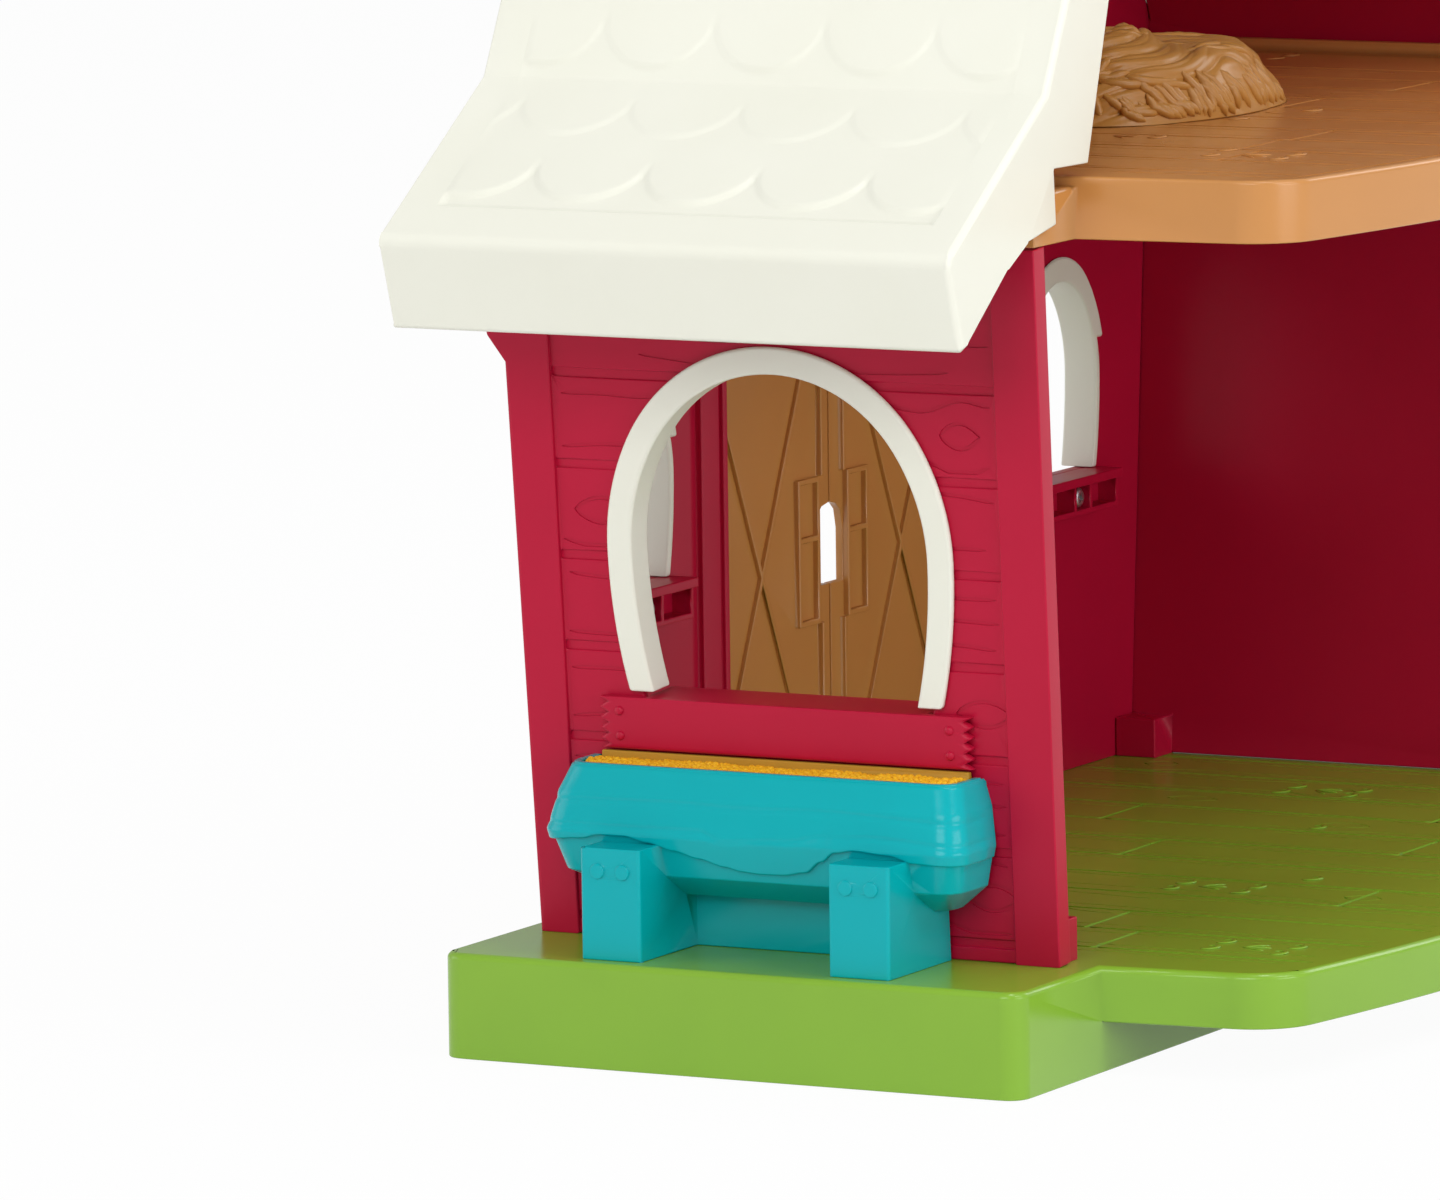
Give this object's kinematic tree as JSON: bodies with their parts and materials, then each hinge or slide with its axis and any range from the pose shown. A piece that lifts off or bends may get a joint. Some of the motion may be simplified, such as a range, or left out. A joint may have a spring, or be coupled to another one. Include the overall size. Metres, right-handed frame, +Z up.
{
  "type": "toy barn",
  "caption": "Open-sided play barn with a scalloped gambrel roof, bowed hay loft, arched windows, feed trough and a pair of outward-opening barn doors.",
  "frame": {"origin": "centre of the footprint, on the surface the barn stands on", "axes": "+Z up; +X along the barn towards the end wall with the big window and the trough; -Y out through the double doors; +Y out of the open play side"},
  "size_m": [0.3934, 0.187, 0.3236],
  "materials": {
    "red_plastic": "satin red moulded plastic",
    "cream_plastic": "satin cream moulded plastic",
    "green_plastic": "satin green moulded plastic",
    "tan_plastic": "satin tan moulded plastic",
    "teal_plastic": "satin teal moulded plastic",
    "feed_yellow": "matte yellow moulded plastic",
    "hay_plastic": "matte straw-coloured moulded plastic",
    "steel": "zinc-plated steel"
  },
  "bodies": {
    "barn": {"base": "green_plastic", "front_wall": "red_plastic", "window_end_wall": "red_plastic", "plain_end_wall": "red_plastic", "end_window_frame": "cream_plastic", "end_sill_board": "red_plastic", "front_window_frame_left": "cream_plastic", "front_window_frame_right": "cream_plastic", "front_board_left": "red_plastic", "front_board_right": "red_plastic", "front_sill_box_left": "red_plastic", "front_sill_box_right": "red_plastic", "left_hinge_pins": "steel", "right_hinge_pins": "steel", "loft_deck": "tan_plastic", "hay_mound": "hay_plastic", "roof_window_side": "cream_plastic", "roof_plain_side": "cream_plastic", "ridge_cap": "cream_plastic", "trough": "teal_plastic", "trough_feed": "feed_yellow", "base_screws": "steel", "trough_screws": "steel", "loft_screws": "steel", "ledge_screws": "steel", "roof_screws": "steel"},
    "left_door": {"left_door": "tan_plastic"},
    "right_door": {"right_door": "tan_plastic"}
  },
  "joints": [
    {"name": "left_door_hinge", "type": "hinge", "parent": "barn", "child": "left_door", "pos_m": [-0.0654, -0.0906, 0], "axis": [0, 0, -1], "range_deg": [0, 110]},
    {"name": "right_door_hinge", "type": "hinge", "parent": "barn", "child": "right_door", "pos_m": [0.0654, -0.0906, 0], "axis": [0, 0, 1], "range_deg": [0, 110]}
  ]
}
